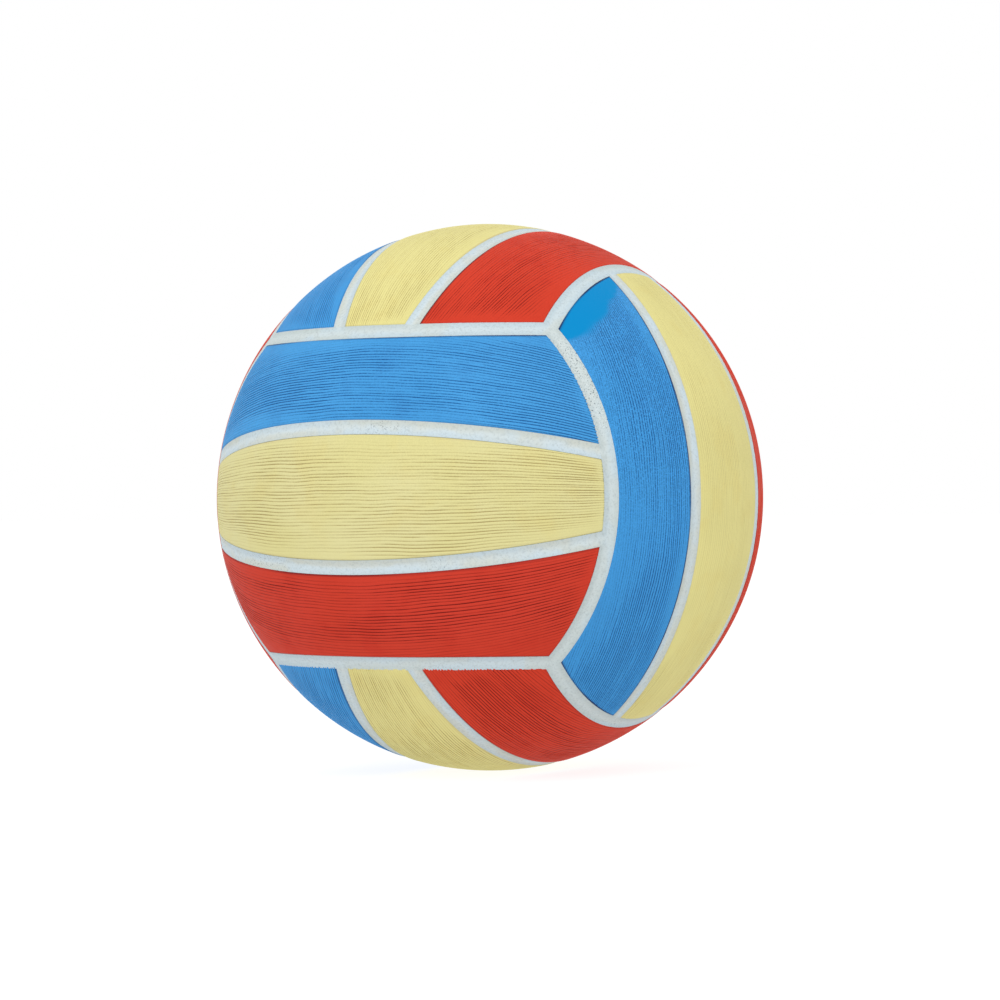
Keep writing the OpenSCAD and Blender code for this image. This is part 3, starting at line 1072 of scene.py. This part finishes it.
def make_strip(sizes, name, face, side, is_edge):
    """Mesh of a seam strip: along a face's edge, or beside its middle panel."""
    bm = bmesh.new()
    top = sizes.radius - sizes.seam_depth
    angle = math.pi / 2 - EDGE_ANGLE if is_edge else sizes.strip_angle
    middle = Vector((0, -math.cos(angle), math.sin(angle)))
    across = Vector((0, math.sin(angle), math.cos(angle)))
    half_width = (sizes.edge_seam if is_edge else sizes.strip_seam) / 2
    axis = Vector((0, 0, 1)) if is_edge else across
    section = seam_section(bm, half_width, top, sizes.carcass_radius, across, middle)
    steps = STRIP_STEPS
    sweep = EDGE_SWEEP if is_edge else STRIP_SWEEP
    to_start = Matrix.Rotation(-sweep / 2, 3, axis)
    bmesh.ops.rotate(bm, verts=bm.verts[:], cent=(0, 0, 0), matrix=to_start)
    bmesh.ops.spin(bm, geom=section, cent=(0, 0, 0), axis=axis, angle=sweep, steps=steps)
    bmesh.ops.holes_fill(bm, edges=[edge for edge in bm.edges if edge.is_boundary], sides=0)
    if is_edge:
        for mitre in MITRES:
            slice_off(bm, mitre)
    else:
        slice_off(bm, (0, 1, 0), -top * math.cos(EDGE_ANGLE - sizes.edge_seam / 2 / sizes.radius))
    bmesh.ops.recalc_face_normals(bm, faces=bm.faces)
    for edge in bm.edges:
        edge.smooth = edge.calc_face_angle(0) < SHARP_ANGLE
    mesh = make_mesh(bm, name)
    points = read_points(mesh)
    reach = np.linalg.norm(points, axis=1)
    upper = reach > top - UPPER_SKIN
    ways = points / reach[:, None]
    turned = ways * (1, 1, side) @ np.array(TURNS[face]).T
    gap = panel_gap(turned, sizes)
    from_grainy = np.linalg.norm((turned - GRAINY_PLACE) / GRAINY_REACH, axis=1)
    grainy = 1 - smooth(GRAINY_FULL_SHARE, 1.0, from_grainy)
    grain = wander(turned, COARSE_GRAIN_LENGTH, seed=3, waves=GRAIN_WAVES)
    grain = grain + FINE_GRAIN_SHARE * wander(turned, FINE_GRAIN_LENGTH, seed=4, waves=GRAIN_WAVES)
    fillet = FILLET * (1 - smooth(FILLET_FROM, FILLET_TO, gap))
    height = fillet + (SEAM_GRAIN + SUGAR_GRAIN * grainy) * grain
    radius = np.where(upper, top - sunk(turned, sizes) + height, reach)
    write_points(mesh, turned * radius[:, None])
    write_values(mesh, "gap", gap / MM)
    write_values(mesh, "grainy", grainy)
    write_values(mesh, "across", ways @ np.array(across) * sizes.radius / half_width)
    write_values(mesh, "cool", np.full(len(points), float(is_edge)))
    if side < 0:
        mesh.flip_normals()
    return mesh


class BALL_OT_seams(bpy.types.Operator):
    """Build the white seam strips within and between the faces."""

    bl_idname = "ball.seams"
    bl_label = "Seam strips"

    def execute(self, context):
        sizes = context.scene.ball_sizes
        white = seam_rubber("white_seam_rubber", context.scene.ball_colours.white)
        for face, sides in SIDES.items():
            for side, (strip, edge) in zip((1, -1), sides):
                for name, is_edge in ((f"{face}_{strip}_seam", False), (f"{face}_{edge}_edge", True)):
                    mesh = make_strip(sizes, f"{name}_bead", face, side, is_edge)
                    mesh.materials.append(white)
                    piece = add_piece(mesh)
                    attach(piece, BODY)
                    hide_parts(f"{name}_strip")
        return {"FINISHED"}


def dress(node, material):
    """Gives a node of the frame its material."""
    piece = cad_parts[node]
    piece.data.materials.clear()
    piece.data.materials.append(material)


class BALL_OT_layers(bpy.types.Operator):
    """Finish the layers under the cover."""

    bl_idname = "ball.layers"
    bl_label = "Inner layers"

    def execute(self, context):
        white = context.scene.ball_colours.white
        dress("white_carcass", plain_rubber("carcass_rubber", white, roughness=0.55))
        dress("thread_winding", wound_thread("nylon_thread", THREAD_COLOUR))
        dress("bladder", plain_rubber("butyl_rubber", BLADDER_COLOUR, roughness=0.42))
        return {"FINISHED"}


class BALL_OT_valve(bpy.types.Operator):
    """Finish the valve's housing and core."""

    bl_idname = "ball.valve"
    bl_label = "Valve"

    def execute(self, context):
        dress("valve_housing", plain_rubber("neck_rubber", NECK_COLOUR, roughness=0.55))
        dress("valve_core", plain_rubber("core_rubber", CORE_COLOUR, roughness=0.32))
        return {"FINISHED"}


# The camera, fitted to the photograph: its distance in ball radii, its focal length in picture
# widths, and where the ball's centre shows in the picture
CAMERA_AZIMUTH = math.radians(30.1)
CAMERA_HEIGHT = math.radians(-0.23)
CAMERA_ROLL = math.radians(-0.48)
CAMERA_DISTANCE_SHARE = 13.16
CAMERA_FOCUS_SHARE = 3.590
CENTRE_X_SHARE = 0.4899
CENTRE_Y_SHARE = 0.4973
SENSOR_WIDTH_MM = 36

# Place, width and power of each lamp; both look at the ball's centre
LAMPS = {
    "key": ((0.5, -1.5, 1.75), 1.4, 9.5),
    "fill": ((0.6, -2.2, 0.35), 0.8, 4),
}
# Half the floor's size, its grey, and its own glow as light and what the camera sees on top of that
FLOOR_HALF = 40
FLOOR_GREY = (0.25, 0.25, 0.25, 1)
FLOOR_GLOW = 0.59
FLOOR_SEEN_GLOW = 0.28
# Level of the light from all round, and what the camera sees on top of that
WORLD_LEVEL = 0.84
WORLD_SEEN_LEVEL = 0.16


def add_camera(sizes):
    """Adds the camera at the photograph's viewing angle."""
    data = bpy.data.cameras.new("camera")
    camera = bpy.data.objects.new("camera", data)
    bpy.context.scene.collection.objects.link(camera)
    back = Vector(
        (
            math.sin(CAMERA_AZIMUTH) * math.cos(CAMERA_HEIGHT),
            -math.cos(CAMERA_AZIMUTH) * math.cos(CAMERA_HEIGHT),
            math.sin(CAMERA_HEIGHT),
        )
    )
    right = Vector((math.cos(CAMERA_AZIMUTH), math.sin(CAMERA_AZIMUTH), 0))
    turn = Matrix((right, back.cross(right), back)).transposed()
    turn = turn @ Matrix.Rotation(CAMERA_ROLL, 3, "Z")
    place = back * CAMERA_DISTANCE_SHARE * sizes.radius
    camera.matrix_world = Matrix.Translation(place) @ turn.to_4x4()
    data.sensor_width = SENSOR_WIDTH_MM
    data.lens = SENSOR_WIDTH_MM * CAMERA_FOCUS_SHARE
    data.shift_x = 0.5 - CENTRE_X_SHARE
    data.shift_y = CENTRE_Y_SHARE - 0.5
    bpy.context.scene.camera = camera


def add_lamp(name, place, width, power):
    """Adds a round soft lamp that looks at the ball's centre."""
    data = bpy.data.lights.new(name, "AREA")
    data.shape = "DISK"
    data.size = width
    data.energy = power
    lamp = bpy.data.objects.new(name, data)
    bpy.context.scene.collection.objects.link(lamp)
    turn = Vector(place).to_track_quat("Z", "Y")
    lamp.matrix_world = Matrix.Translation(place) @ turn.to_matrix().to_4x4()


def seen(paint):
    """1 for rays from the camera, and for those in mirrors and clear pieces."""
    path = paint.node("ShaderNodeLightPath")
    return path.value("Is Camera Ray") + path.value("Is Glossy Ray") + path.value("Is Transmission Ray")


def add_floor():
    """Adds the plain pale floor under the ball."""
    bm = bmesh.new()
    bmesh.ops.create_grid(bm, x_segments=1, y_segments=1, size=FLOOR_HALF)
    bmesh.ops.translate(bm, verts=bm.verts, vec=(0, 0, CAD_BOX[0][2]))
    floor = add_piece(make_mesh(bm, "floor"))
    material = bpy.data.materials.new("floor_paper")
    paint = Paint(material)
    matte = paint.node("ShaderNodeBsdfDiffuse", None, {"Color": FLOOR_GREY}).value(0)
    glow = FLOOR_GLOW + FLOOR_SEEN_GLOW * seen(paint)
    lift = paint.node("ShaderNodeEmission", None, {"Strength": glow}).value(0)
    both = paint.node("ShaderNodeAddShader", None, {0: matte, 1: lift}).value(0)
    paint.node("ShaderNodeOutputMaterial", None, {"Surface": both})
    floor.data.materials.append(material)


def add_world(scene):
    """Adds the soft light from all round."""
    world = bpy.data.worlds.new("studio")
    scene.world = world
    paint = Paint(world)
    level = WORLD_LEVEL + WORLD_SEEN_LEVEL * seen(paint)
    light = paint.node("ShaderNodeBackground", None, {"Color": (1, 1, 1, 1), "Strength": level}).value(0)
    paint.node("ShaderNodeOutputWorld", None, {"Surface": light})


class BALL_OT_stage(bpy.types.Operator):
    """Set the floor, the light and the camera."""

    bl_idname = "ball.stage"
    bl_label = "Stage"

    def execute(self, context):
        add_floor()
        add_world(context.scene)
        for name, (place, width, power) in LAMPS.items():
            add_lamp(name, place, width, power)
        add_camera(context.scene.ball_sizes)
        context.scene.view_settings.view_transform = "Standard"
        return {"FINISHED"}


class BALL_PT_panel(bpy.types.Panel):
    """Sizes, colours and the steps that build the ball."""

    bl_label = "Water polo ball"
    bl_idname = "BALL_PT_panel"
    bl_space_type = "VIEW_3D"
    bl_region_type = "UI"
    bl_category = "Ball"

    def draw(self, context):
        for group in (context.scene.ball_sizes, context.scene.ball_colours):
            for name in group.bl_rna.properties.keys():
                if name not in ("rna_type", "name"):
                    self.layout.prop(group, name)
        for step in STEPS:
            self.layout.operator(step.bl_idname)


STEPS = (BALL_OT_stage, BALL_OT_layers, BALL_OT_valve, BALL_OT_seams, BALL_OT_panels)
CLASSES = (BallSizes, BallColours, *STEPS, BALL_PT_panel)


def register():
    for cls in CLASSES:
        bpy.utils.register_class(cls)
    bpy.types.Scene.ball_sizes = bpy.props.PointerProperty(type=BallSizes)
    bpy.types.Scene.ball_colours = bpy.props.PointerProperty(type=BallColours)


def unregister():
    del bpy.types.Scene.ball_colours
    del bpy.types.Scene.ball_sizes
    for cls in reversed(CLASSES):
        bpy.utils.unregister_class(cls)


def main():
    register()
    bpy.ops.ball.stage()
    bpy.ops.ball.layers()
    bpy.ops.ball.valve()
    bpy.ops.ball.seams()
    bpy.ops.ball.panels()


if __name__ == "__main__":
    main()
